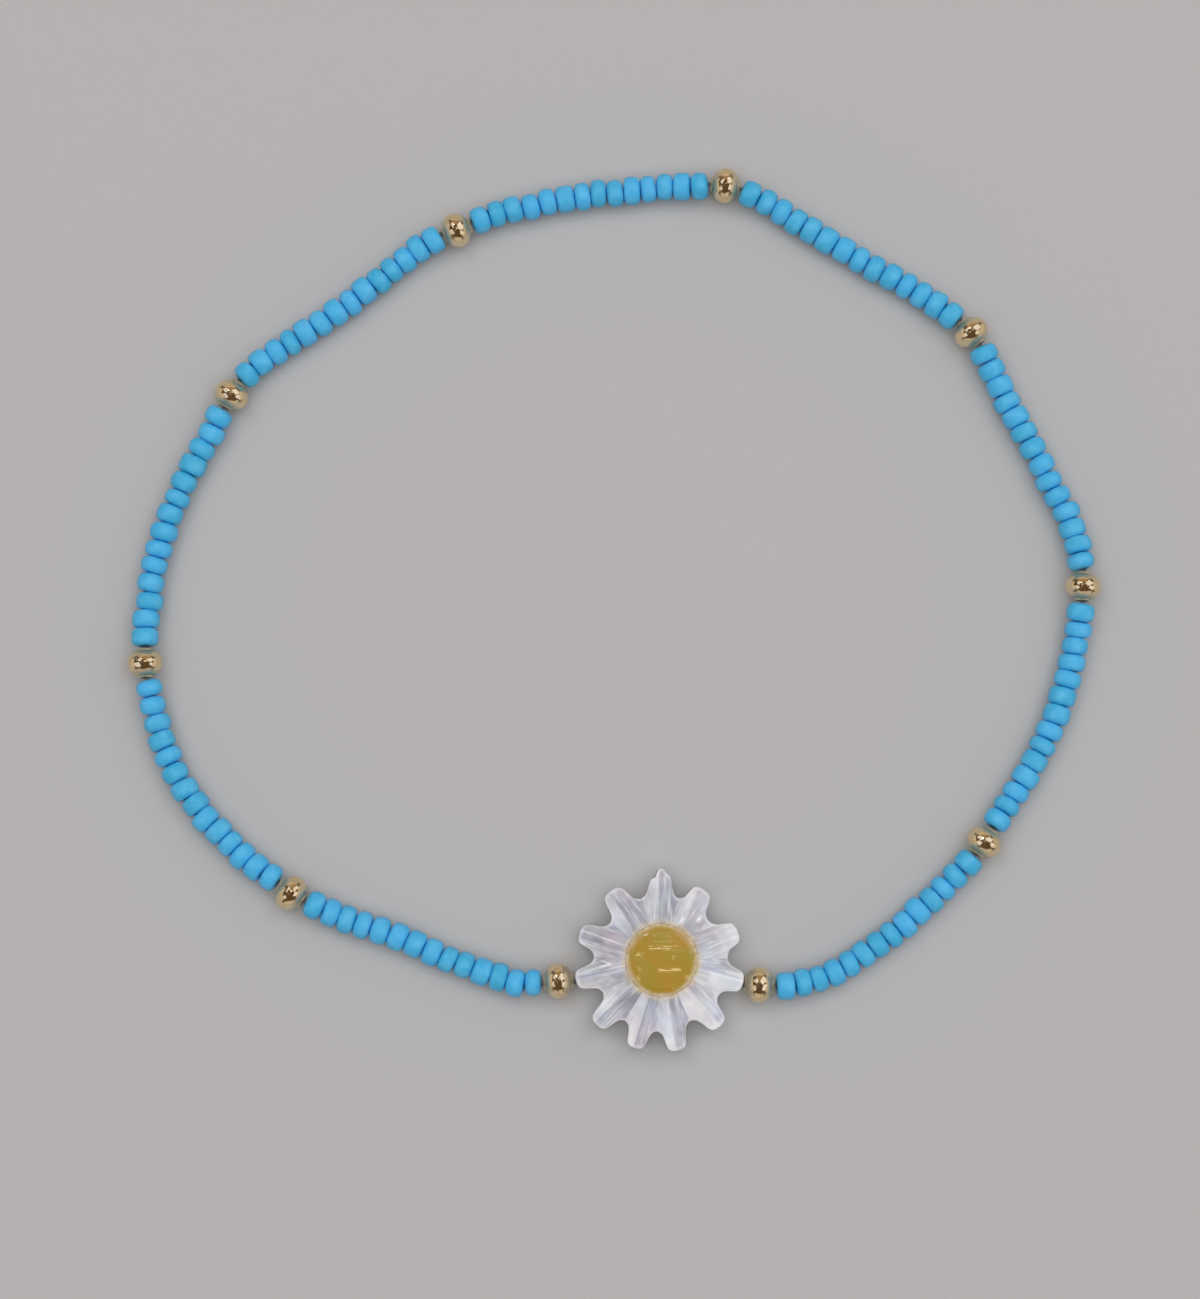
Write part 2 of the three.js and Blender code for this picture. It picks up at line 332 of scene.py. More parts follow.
@dataclass(frozen=True)
class Finish(ABC):
    """A material and the way its surface was made."""

    name: ClassVar[str]
    slot: ClassVar[str]

    def material(self) -> bpy.types.Material:
        """Makes the material, or finds it where it was made before.

        Returns:
            The material.
        """
        made = bpy.data.materials.get(self.name)
        if made:
            return made
        made = bpy.data.materials.new(self.name)
        made.use_nodes = True
        tree = made.node_tree
        fill(tree, tree.nodes["Principled BSDF"], self.dress(partial(add_node, tree)))
        return made

    @abstractmethod
    def dress(self, add: AddNode) -> dict[str, Any]:
        """Adds the nodes of the looks.

        Args:
            add: What adds a node.

        Returns:
            What the sockets of the Principled shader get, by their names.
        """


@dataclass(frozen=True)
class OpaqueGlass(Finish):
    """Turquoise glass, drawn to a tube, cut and tumbled: solid colour under a soft satin skin."""

    name: ClassVar[str] = "opaque_turquoise_glass"
    slot: ClassVar[str] = "seed_glass"
    body: str = "#46B7F1"
    teal: str = "#3AB0DF"
    pale: str = "#66C6F7"
    clouds: Mottle = Mottle(0.7, 3, (0.42, 0.72), (0.0, 0.6))
    satin: Mottle = Mottle(0.7, 3, (0.3, 0.7), (0.34, 0.46))
    pits: Mottle = Mottle(0.22, 1)  # real ones are finer than the render can show
    pit_depth_mm: float = 0.02

    def dress(self, add: AddNode) -> dict[str, Any]:
        """Tints each bead a little differently, with faint clouds in the glass.

        Args:
            add: What adds a node.

        Returns:
            What the sockets of the Principled shader get.
        """
        place = add("TexCoord", {}, "Object")
        tone = add("Attribute", {}, "Fac", attribute_name="tone")
        layers = ((tone, self.body), (self.clouds.laid(add, place), self.pale))
        pits = {"Height": self.pits.laid(add, place), "Distance": self.pit_depth_mm * MM, "Strength": 0.35}
        return {
            "Base Color": layered(add, srgb(self.teal), layers),
            "Roughness": self.satin.laid(add, place),
            "IOR": 1.5,
            "Normal": add("Bump", pits),
        }


@dataclass(frozen=True)
class PolishedGold(Finish):
    """Gold rolled over brass and barrel-polished: a mirror, duller towards the necks."""

    name: ClassVar[str] = "polished_rolled_gold"
    slot: ClassVar[str] = "gold"
    metal: str = "#F0DCB6"
    deep: str = "#E4C594"
    # painted shade: a greyer, slightly darker metal colour painted into the recesses towards the necks
    recess_shade: str = "#E0D6BC"
    tint: Mottle = Mottle(0.5, 2, (0.4, 0.65), (0.0, 0.5))
    gloss: Mottle = Mottle(0.5, 2, (0.35, 0.7), (0.05, 0.12))
    ripples: Mottle = Mottle(0.5, 2)
    ripple_depth_mm: float = 0.06
    dulling: float = 0.5  # how much rougher it is in the recesses

    def dress(self, add: AddNode) -> dict[str, Any]:
        """Makes the metal a warm mirror that is a little uneven, dulls it in the recesses and paints shade
        there.

        Args:
            add: What adds a node.

        Returns:
            What the sockets of the Principled shader get.
        """
        place = add("TexCoord", {}, "Object")
        recess = add("Attribute", {}, "Fac", attribute_name="recess")
        layers = ((self.tint.laid(add, place), self.deep), (recess, self.recess_shade))
        dull = {0: recess, 1: self.dulling, 2: self.gloss.laid(add, place)}
        ripples = {"Height": self.ripples.laid(add, place), "Distance": self.ripple_depth_mm * MM}
        return {
            "Base Color": layered(add, srgb(self.metal), layers),
            "Metallic": 1.0,
            "Roughness": add("Math", dull, operation="MULTIPLY_ADD"),
            "Normal": add("Bump", {**ripples, "Strength": 0.8}),
        }


@dataclass(frozen=True)
class MotherOfPearl(Finish):
    """Nacre, ground and polished: white to lavender bands with a faint play of pink and green."""

    name: ClassVar[str] = "polished_mother_of_pearl"
    slot: ClassVar[str] = "mother_of_pearl"
    white: str = "#F6F9FF"
    lavender: str = "#9C9DAB"
    streak: str = "#FCFDFF"
    # painted shade: the blue-grey painted along each petal's groove
    line: str = "#9299B0"
    pink: str = "#DDD0D9"
    green: str = "#C9D8D8"
    blue: str = "#C2D0EA"
    # painted highlight: the pale colour painted along the petals' rim
    rim: str = "#F2F2F8"
    # painted reflection: the yellow centre's warm colour painted on the nacre round the seat
    yellow_reflection: str = "#DDCBA4"
    # painted highlight: the white painted where the daisy's facets glint
    painted_glint: str = "#FFFFFF"
    bands: Mottle = Mottle(0.42, 3)
    satin: Mottle = Mottle(0.42, 3, (0.3, 0.7), (0.16, 0.3))
    patches: Mottle = Mottle(1.0, 2)
    pink_play: Mottle = Mottle(1.7, 1, (0.5, 0.7), (0.0, 0.4))
    green_play: Mottle = Mottle(1.36, 1, (0.5, 0.7), (0.0, 0.4))
    blue_play: Mottle = Mottle(2.125, 1, (0.5, 0.7), (0.0, 0.4))
    streaks: Mottle = Mottle(0.22, 2, (0.5, 0.7), (0.0, 0.55))
    reflection_patches: Mottle = Mottle(0.35, 2, (0.35, 0.65), (0.35, 1.0))
    grain: Mottle = Mottle(0.12, 2)  # real polishing marks are finer than the render can show
    grain_depth_mm: float = 0.01
    stretch: float = 0.1  # how much slower the bands change along a petal than across it
    band_share: float = 0.45  # of the bands in the unevenness, against the patches
    # a ground face's tone is partly the nacre's own and partly painted light and shade
    facet_share: float = 0.6  # of a ground face's own shade
    shade_span: tuple[float, float] = (0.47, 1.07)  # the sum of both where it is white and lavender
    rim_highlight_share: float = 0.45

    def dress(self, add: AddNode) -> dict[str, Any]:
        """Clouds the ground faces, lays growth bands along them and a play of colour over them.

        Args:
            add: What adds a node.

        Returns:
            What the sockets of the Principled shader get.
        """
        place = add("TexCoord", {}, "Object")
        petals = add("UVMap", {}, uv_map="petals")
        along = add("Mapping", {"Vector": petals, "Scale": (1.0, self.stretch, 1.0)})
        layers = (
            (self.shade(add, place, along), self.lavender),
            (self.pink_play.laid(add, place), self.pink),
            (self.green_play.laid(add, place), self.green),
            (self.blue_play.laid(add, place), self.blue),
            (self.streaks.laid(add, along), self.streak),
            *self.marks(add, place),
        )
        grain = {"Height": self.grain.laid(add, along), "Distance": self.grain_depth_mm * MM}
        return {
            "Base Color": layered(add, srgb(self.white), layers),
            "Roughness": self.satin.laid(add, along),
            "IOR": 1.6,
            "Normal": add("Bump", {**grain, "Strength": 0.4}),
            "Coat Weight": 0.6,
            "Coat Roughness": 0.06,
        }

    def shade(self, add: AddNode, place: Socket, along: Socket) -> Socket:
        """Works out how grey the nacre is: partly its own tone, partly painted light and shade on each
        facet.

        Args:
            add: What adds a node.
            place: Places on the piece.
            along: Places on its petals, drawn out along them.

        Returns:
            The output, from 0, white, to 1, lavender.
        """
        patches, bands = self.patches.laid(add, place), self.bands.laid(add, along)
        clouds = add("Mix", {0: self.band_share, 2: patches, 3: bands})
        facet = add("Attribute", {}, "Fac", attribute_name="facet")
        both = add("Math", {0: facet, 1: self.facet_share, 2: clouds}, operation="MULTIPLY_ADD")
        return add("MapRange", dict(enumerate((both, *self.shade_span, 0.0, 1.0))))

    def marks(self, add: AddNode, place: Socket) -> list[tuple[Socket, str]]:
        """Lists what is marked on the mesh.

        Args:
            add: What adds a node.
            place: Places on the piece.

        Returns:
            The painted shade in the grooves, highlight on the rim, reflection of the yellow centre and
            glints.
        """
        line, rim, seat, painted_glint = (
            add("Attribute", {}, "Fac", attribute_name=name) for name in ("line", "rim", "seat", "painted_glint")
        )
        # painted highlight along the rim
        polished = add("Math", {0: rim, 1: self.rim_highlight_share}, operation="MULTIPLY")
        # painted reflection of the yellow centre, in patches, round the seat
        reflected_yellow = add("Math", {0: seat, 1: self.reflection_patches.laid(add, place)}, operation="MULTIPLY")
        return [(line, self.line), (polished, self.rim), (reflected_yellow, self.yellow_reflection), (painted_glint, self.painted_glint)]


@dataclass(frozen=True)
class YellowShell(Finish):
    """Dyed shell, domed and lacquered: deep mustard clouded with olive, a painted highlight round its edge
    and rows of pale gold streaks.
    """

    name: ClassVar[str] = "lacquered_yellow_shell"
    slot: ClassVar[str] = "yellow_enamel"
    ochre: str = "#B18A27"
    olive: str = "#A58F29"
    # painted highlight: the pale straw painted round the dome's edge, in patches
    straw: str = "#DBCDAD"
    pale_streaks: str = "#F6DC90"
    clouds: Mottle = Mottle(1.5, 2, (0.42, 0.62), (0.0, 1.0))
    edge_light_patches: Mottle = Mottle(0.3, 2, (0.38, 0.6), (0.45, 1.0))
    streak_breaks: Mottle = Mottle(0.1, 1, (0.46, 0.56), (0.0, 1.0))  # coarse enough to show
    stretch: float = 0.16  # how much slower the streaks change along X
    waves: Mottle = Mottle(0.6, 2)
    wave_depth_mm: float = 0.03

    def dress(self, add: AddNode) -> dict[str, Any]:
        """Clouds the mustard with olive, and sets a clear coat over it.

        Args:
            add: What adds a node.

        Returns:
            What the sockets of the Principled shader get.
        """
        place = add("TexCoord", {}, "Object")
        along = add("Mapping", {"Vector": place, "Scale": (self.stretch, 1.0, 1.0)})
        rim, row = (add("Attribute", {}, "Fac", attribute_name=name) for name in ("rim", "pale_streaks"))
        # painted highlight round the dome's edge, broken into patches
        painted_edge_light = add("Math", {0: rim, 1: self.edge_light_patches.laid(add, place)}, operation="MULTIPLY")
        # rows of pale gold streaks in the dome's colour, broken into dashes
        pale_streaks = add("Math", {0: self.streak_breaks.laid(add, along), 1: row}, operation="MULTIPLY")
        layers = ((self.clouds.laid(add, place), self.olive), (painted_edge_light, self.straw), (pale_streaks, self.pale_streaks))
        waves = {"Height": self.waves.laid(add, place), "Distance": self.wave_depth_mm * MM}
        return {
            "Base Color": layered(add, srgb(self.ochre), layers),
            "Roughness": 0.28,
            "Normal": add("Bump", {**waves, "Strength": 0.4}),
            "Coat Weight": 1.0,
            "Coat Roughness": 0.04,
        }


@dataclass(frozen=True)
class ClearElastic(Finish):
    """Drawn polyurethane: a clear cord with a smooth skin, faintly smoky where it is stretched."""

    name: ClassVar[str] = "clear_polyurethane_elastic"
    slot: ClassVar[str] = "clear_elastic"
    body: str = "#AEB6B8"
    smoke: str = "#8C9698"
    clouds: Mottle = Mottle(0.8, 2)

    def dress(self, add: AddNode) -> dict[str, Any]:
        """Makes the cord clear, with a faint smokiness.

        Args:
            add: What adds a node.

        Returns:
            What the sockets of the Principled shader get.
        """
        clouds = self.clouds.laid(add, add("TexCoord", {}, "Object"))
        return {
            "Base Color": layered(add, srgb(self.body), ((clouds, self.smoke),)),
            "Roughness": 0.1,
            "IOR": 1.5,
            "Transmission Weight": 0.95,
        }


@dataclass(frozen=True)
class PaleFloor(Finish):
    """Pale matte board under the bracelet."""

    name: ClassVar[str] = "pale_board"
    slot: ClassVar[str] = ""
    body: str = "#B8B9BA"

    def dress(self, add: AddNode) -> dict[str, Any]:
        """Makes the board plain and matte."""
        return {"Base Color": srgb(self.body), "Roughness": 0.9}


# --- The thread's route ---


class ThreadHeight:
    """How high the thread runs, in millimetres above the surface."""

    GOLD = 1.25
    SEED = 1.0
    DROP_START = 1.3  # distances from a gold ball's middle
    DROP_END = 4.2


@dataclass(frozen=True)
class Run:
    """A run of seed beads, anticlockwise as seen from above.

    start and end name gold balls. bows says how far the run stands out from a straight line, a
    quarter, a half and three quarters of the way, in millimetres.
    """

    start: str
    end: str
    bows: tuple[float, float, float]


RUNS = (
    Run("left", "lower_left", (1.75, 2.35, 1.65)),
    Run("lower_left", "daisy_left", (0.55, 0.75, 1.1)),
    Run("daisy_right", "lower_right", (2.0, 2.0, 1.3)),
    Run("lower_right", "right", (1.0, 1.5, 1.1)),
    Run("right", "upper_right", (1.0, 0.7, 0.35)),
    Run("upper_right", "top", (0.5, 0.4, 0.5)),
    Run("top", "upper_left", (0.65, 0.95, 0.85)),
    Run("upper_left", "far_left", (0.55, 0.35, 0.65)),
    Run("far_left", "left", (1.0, 1.6, 1.25)),
)


class RunCurve:
    """The thread along one run, measured by its own length."""

    STEPS = 400
    REACH = 0.05  # how far ahead and behind a direction is measured

    def __init__(self, run: Run) -> None:
        """Lays the curve out.

        Args:
            run: The run's ends and bows.
        """
        self.start = node_middle(f"gold_bead_{run.start}")
        self.end = node_middle(f"gold_bead_{run.end}")
        self.bows = run.bows
        self.chord = (self.end - self.start).length
        self.outward = (self.end - self.start).normalized().cross(UP)
        self.points = [self.at(i / self.STEPS) for i in range(self.STEPS + 1)]
        self.lengths = [0.0]
        for a, b in zip(self.points, self.points[1:]):
            self.lengths.append(self.lengths[-1] + (b - a).length)
        self.length = self.lengths[-1]

    def bulge(self, t: float) -> float:
        """Works out how far the run stands out, nil at both ends and passing the three bows.

        Args:
            t: The share of the way along, from 0 to 1.

        Returns:
            The distance in millimetres.
        """
        quarter, half, three_quarter = self.bows  # where t * (1 - t) is 3/16, 1/4 and 3/16
        before, middle, after = quarter / (3 / 16), half / (1 / 4), three_quarter / (3 / 16)
        u = 4 * t - 2
        slope, curvature = (after - before) / 2, (after + before) / 2 - middle
        return t * (1 - t) * (middle + slope * u + curvature * u * u)

    def at(self, t: float) -> Vector:
        """Works out a point of the curve.

        Args:
            t: The share of the way along, from 0 to 1.

        Returns:
            The point.
        """
        point = self.start.lerp(self.end, t) + self.outward * self.bulge(t)
        distance = min(t, 1 - t) * self.chord
        drop = smoothstep(ThreadHeight.DROP_START, ThreadHeight.DROP_END, distance)
        point.z -= (ThreadHeight.GOLD - ThreadHeight.SEED) * drop
        return point

    def point(self, along: float) -> Vector:
        """Finds a point by its distance.

        Args:
            along: The millimetres along the curve.

        Returns:
            The point there.
        """
        for i in range(self.STEPS):
            if self.lengths[i + 1] >= along:
                break
        share = share_of(self.lengths[i], self.lengths[i + 1], along)
        return self.points[i].lerp(self.points[i + 1], share)

    def direction(self, along: float) -> Vector:
        """Finds the direction of travel at a distance.

        Args:
            along: The millimetres along the curve.

        Returns:
            The direction, of length 1.
        """
        before = self.point(max(0.0, along - self.REACH))
        after = self.point(min(self.length, along + self.REACH))
        return (after - before).normalized()


# --- Assemblies ---


class Assembly(ABC):
    """A part of the bracelet that builds its own pieces and dresses them."""

    @abstractmethod
    def build(self) -> None:
        """Makes the pieces, each in its place."""

    def piece(self, name: str, shape: Shape, finish: Finish, nodes: Sequence[str]) -> bpy.types.Object:
        """Makes a piece of a shape in millimetres.

        Args:
            name: The piece's name.
            shape: The shape, which is used up.
            finish: What it is made of.
            nodes: The CAD nodes that it stands for.

        Returns:
            The piece, in metres, on its body.
        """
        bmesh.ops.recalc_face_normals(shape, faces=shape.faces)
        for edge in shape.edges:
            edge.smooth = edge.calc_face_angle(0.0) < CRISP_ANGLE
        mesh = finished_mesh(name, shape)
        mesh.shade_smooth()
        mesh.materials.append(finish.material())
        made = add_object(name, mesh)
        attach(made, ROOT)
        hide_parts(*nodes)
        log.info("%s: %d faces", name, len(mesh.polygons))
        return made


class BeadForm(Enum):
    """How far the tumbler rounded a seed bead's outer corners, in millimetres."""

    ROUND = 0.47
    EVEN = 0.41
    SQUARE = 0.35


@dataclass
class SeedBead:
    """The shape of a seed bead of mean size, along Y."""

    diameter: float = 1.92
    length: float = 1.29
    sides: int = 12
    shoulder_steps: int = 2

    def mesh(self, form: BeadForm) -> bpy.types.Mesh:
        """Cuts a ring of the tube and rounds its corners.

        Args:
            form: How round the bead is.

        Returns:
            The bead in millimetres.
        """
        shape = bmesh.new()
        shape.verts.layers.float.new("tone")
        inner, outer, half = BORE / 2, self.diameter / 2, self.length / 2
        corners = [(inner, -half), (outer, -half), (outer, half), (inner, half)]
        verts = [shape.verts.new((x, y, 0)) for x, y in corners]
        for a, b in zip(verts, verts[1:] + verts[:1]):
            shape.edges.new((a, b))
        bmesh.ops.spin(
            shape,
            geom=shape.verts[:] + shape.edges[:],
            cent=(0, 0, 0),
            axis=(0, 1, 0),
            angle=2 * math.pi,
            steps=self.sides,
            use_merge=True,
        )
        rims = [
            edge
            for edge in shape.edges
            if abs(edge.verts[0].co.y - edge.verts[1].co.y) < TINY
            and all(abs(math.hypot(v.co.x, v.co.z) - outer) < TINY for v in edge.verts)
        ]
        round_edges(shape, rims, form.value, self.shoulder_steps)
        return finished_mesh(f"seed_bead_{form.name.lower()}", shape, 1.0)


@dataclass
class SeedRun(Assembly):
    """One run of seed beads, pushed tight against each other on the elastic."""

    number: int
    curve: RunCurve
    forms: dict[BeadForm, bpy.types.Mesh]
    bead: SeedBead = field(default_factory=SeedBead)
    beads: int = 14
    turning_gap: float = 0.16
    clearance: float = 0.03
    length_spread: float = 0.1
    width_spread: float = 0.03
    sideways_spread: float = 0.08
    lean_spread: float = 0.09
    oval_spread: float = 0.02

    def build(self) -> None:
        """Strings the beads along the run."""
        first = (self.number - 1) * self.beads
        reach = BALL_LENGTH / 2 + self.turning_gap
        beads = range(first, first + self.beads)
        lengths = [1 + self.length_spread * uneven(bead, Trait.LENGTH) for bead in beads]
        scale = (self.curve.length - 2 * reach) / sum(lengths)
        shape = bmesh.new()
        start = reach
        for bead, share in zip(beads, lengths):
            self.string(shape, bead, start + share * scale / 2, share * scale)
            start += share * scale
        self.piece(f"seed_run_{self.number}", shape, OpaqueGlass(), [f"seed_beads_{self.number}"])

    def string(self, shape: Shape, number: int, along: float, length: float) -> None:
        """Adds one bead.

        Args:
            shape: What the bead is added to.
            number: The bead's number on the whole bracelet.
            along: Where its middle lies on the run.
            length: Its own length.
        """
        forms = list(BeadForm)
        form = forms[int((uneven(number, Trait.FORM) + 1) / 2 * len(forms)) % len(forms)]
        count = len(shape.verts)
        shape.from_mesh(self.forms[form])
        shape.verts.ensure_lookup_table()
        added = shape.verts[count:]
        tone = shape.verts.layers.float["tone"]
        for vert in added:
            vert[tone] = (uneven(number, Trait.TONE) + 1) / 2
        forward = self.curve.direction(along)
        outward = forward.cross(UP).normalized()
        upward = outward.cross(forward)
        turned = Matrix((outward, forward, upward)).transposed().to_4x4()
        width = 1 + self.width_spread * uneven(number, Trait.WIDTH)
        oval = self.oval_spread * uneven(number, Trait.OVAL)
        stretch = (length - self.clearance) / self.bead.length
        sized = Matrix.Diagonal((width * (1 + oval), stretch, width * (1 - oval), 1))
        lean = Matrix.Rotation(-self.lean_spread * uneven(number, Trait.LEAN), 4, "Z")
        sideways = outward * self.sideways_spread * uneven(number, Trait.SIDEWAYS)
        placed = Matrix.Translation(self.curve.point(along) + sideways)
        bmesh.ops.transform(shape, matrix=placed @ turned @ lean @ sized, verts=added)


@dataclass
class GoldBall(Assembly):
    """A hollow gold ball, a little flat along the thread, with a rolled neck at each end."""

    name: str
    middle: Vector
    heading: Vector
    diameter: float = 2.5
    ball_length: float = 1.8
    neck: float = 1.06
    rim_round: float = 0.05
    rim_steps: int = 3
    dull_from: float = 0.24  # shares of the ball's length, from its middle
    dull_to: float = 0.42
    sides: int = 64
    rings: int = 40

    def build(self) -> None:
        """Forms the ball along its thread."""
        shape = bmesh.new()
        radius = self.diameter / 2
        bmesh.ops.create_uvsphere(shape, u_segments=self.sides, v_segments=self.rings, radius=radius)
        flatness = self.ball_length / math.sqrt(self.diameter**2 - self.neck**2)
        bmesh.ops.scale(shape, vec=(1, 1, flatness), verts=shape.verts)
        mouths = [self.open_end(shape, side) for side in (-1, 1)]
        bmesh.ops.bridge_loops(shape, edges=mouths[0] + mouths[1])
        rims = [
            edge
            for edge in shape.edges
            if all(abs(abs(v.co.z) - BALL_LENGTH / 2) < TINY for v in edge.verts)
            and all(v.co.xy.length > (self.neck + BORE) / 4 for v in edge.verts)
        ]
        round_edges(shape, rims, self.rim_round, self.rim_steps)
        # recess sets where the metal is rougher and where painted shade darkens it towards the necks
        recess = shape.verts.layers.float.new("recess")
        for vert in shape.verts:
            vert[recess] = smoothstep(self.dull_from, self.dull_to, abs(vert.co.z) / self.ball_length)
        across = self.heading.cross(UP).normalized()
        turned = Matrix((across, self.heading.cross(across), self.heading)).transposed()
        placed = Matrix.Translation(self.middle) @ turned.to_4x4()
        bmesh.ops.transform(shape, matrix=placed, verts=shape.verts)
        self.piece(f"gold_ball_{self.name}", shape, PolishedGold(), [f"gold_bead_{self.name}"])

    def open_end(self, shape: Shape, side: int) -> list[Edge]:
        """Cuts one end off, draws the edge out to a neck and turns it in to the hole.

        Args:
            shape: The ball, along Z.
            side: 1 for the upper end and -1 for the lower.

        Returns:
            The hole's edges.
        """
        cut = bmesh.ops.bisect_plane(
            shape,
            geom=shape.verts[:] + shape.edges[:] + shape.faces[:],
            plane_co=(0, 0, side * self.ball_length / 2),
            plane_no=(0, 0, side),
            clear_outer=True,
        )
        rim = [e for e in cut["geom_cut"] if isinstance(e, Edge)]
        neck = draw_out(shape, rim, 1.0, side * (BALL_LENGTH - self.ball_length) / 2)
        return draw_out(shape, neck, BORE / self.neck, 0.0)


@dataclass(frozen=True)
class Petal:
    """A petal of the daisy.

    angle is its ridge's, from +X in degrees. tip and notch say how far out it and the next notch
    end. tones are the shades of its two sides, the first clockwise of the ridge: 0 is white nacre
    and 1 is grey; they are partly the nacre's own tone and partly painted light and shade from how
    each side faces the light. line says how far beside the ridge its groove lies, and crease how
    deep the groove is and how dark the painted shade along it. ground says how much further its
    tip's two corners are ground back, the clockwise one first.
    """

    angle: float
    tip: float
    notch: float
    tones_and_shade: tuple[float, float]
    line: float
    crease: float
    ground: tuple[float, float] = (0.0, 0.0)


PETALS = (
    Petal(90, 6.35, 4.5, (0.95, 0.35), 0.12, 0.3, (0.3, 0.6)),
    Petal(126.5, 5.95, 4.4, (1.0, 0.35), 0.2, 0.4),
    Petal(162, 6.0, 4.7, (1.15, 0.45), 0.25, 0.2),
    Petal(193, 6.1, 4.65, (1.0, 0.5), -0.1, 0.7),
    Petal(225, 6.35, 4.9, (0.35, 0.75), -0.15, 0.7),
    Petal(253, 6.35, 4.95, (0.2, 0.95), -0.05, 0.8),
    Petal(279.5, 6.35, 4.65, (0.1, 1.0), 0.05, 0.4),
    Petal(311.5, 6.1, 4.65, (-0.1, 0.55), 0.1, 0.2),
    Petal(344.3, 5.86, 4.6, (-0.05, 0.75), 0.2, 0.2),
    Petal(380, 5.65, 4.25, (0.2, 0.4), -0.1, 0.2),
    Petal(420, 5.7, 4.45, (0.65, 0.3), 0.1, 0.2),
)
CORNER_SHARES = (0.06, 0.25)  # the way to the notch where a corner's grinding starts and is full

# Half of a petal's edge, from the ridge to the middle of the notch: the share of the angle between
# them, and a reach that is 1 at the tip and 0 at the notch.
PETAL_EDGE = ((0, 1), (0.2, 0.98), (0.38, 0.88), (0.47, 0.66), (0.58, 0.34), (0.72, 0.11), (1, 0))


def eased(rows: Sequence[tuple[float, float]], at: float) -> float:
    """Reads a table of points as one smooth curve that never overshoots them.

    Args:
        rows: The points, in rising order of their first number.
        at: Where to read it.

    Returns:
        The curve's value there.
    """
    slopes = [(b[1] - a[1]) / (b[0] - a[0]) for a, b in zip(rows, rows[1:])]
    tangents = [0.0]
    for before, after in zip(slopes, slopes[1:]):
        same_way = before * after > 0
        tangents.append(2 * before * after / (before + after) if same_way else 0.0)
    tangents.append(0.0)
    i = next((k for k in range(len(slopes)) if at <= rows[k + 1][0]), len(slopes) - 1)
    (x0, y0), (x1, y1) = rows[i], rows[i + 1]
    width = x1 - x0
    t = share_of(x0, x1, at)
    rise = y0 * (1 + 2 * t) * (1 - t) ** 2 + y1 * t * t * (3 - 2 * t)
    return rise + width * (tangents[i] * t * (1 - t) ** 2 - tangents[i + 1] * t * t * (1 - t))


@dataclass(frozen=True)
class PaintedGlint:
    """A painted highlight on the daisy: a narrow stroke of white painted where a facet glints.

    angle is its direction in degrees, start and end are its distances from the daisy's middle. lean
    says by how many degrees it has turned aside at its end.
    """

    angle: float
    start: float
    end: float
    half_width: float
    lean: float = 0.0
    FADE_IN: ClassVar[float] = 0.15
    FADE_OUT: ClassVar[float] = 0.35

    def share(self, angle: float, radius: float) -> float:
        """Works out how much of it there is at a place.

        Args:
            angle: The place's direction in degrees.
            radius: Its distance from the daisy's middle.

        Returns:
            From 0, none, to 1.
        """
        along = (radius - self.start) / (self.end - self.start)
        turn = math.radians(angle - self.angle - self.lean * along)
        if math.cos(turn) < 0:
            return 0.0
        inside = smoothstep(self.start, self.start + self.FADE_IN, radius)
        inside *= smoothstep(self.end, self.end - self.FADE_OUT, radius)
        return inside * bell(radius * math.sin(turn), self.half_width)


# Painted highlights: white strokes painted where light glints off the daisy's facets.
PAINTED_GLINTS = (
    PaintedGlint(47.5, 3.55, 4.2, 0.1),
    PaintedGlint(184.9, 3.4, 4.5, 0.05, 1.2),
    PaintedGlint(184.9, 3.4, 4.35, 0.045, -5.6),
)


@dataclass
class Column:
    """One line of the daisy's surface, from its middle out over an edge and back."""

    petal: int
    side: int
    share: float
    half_turn: float
    angle: float
    radius: float


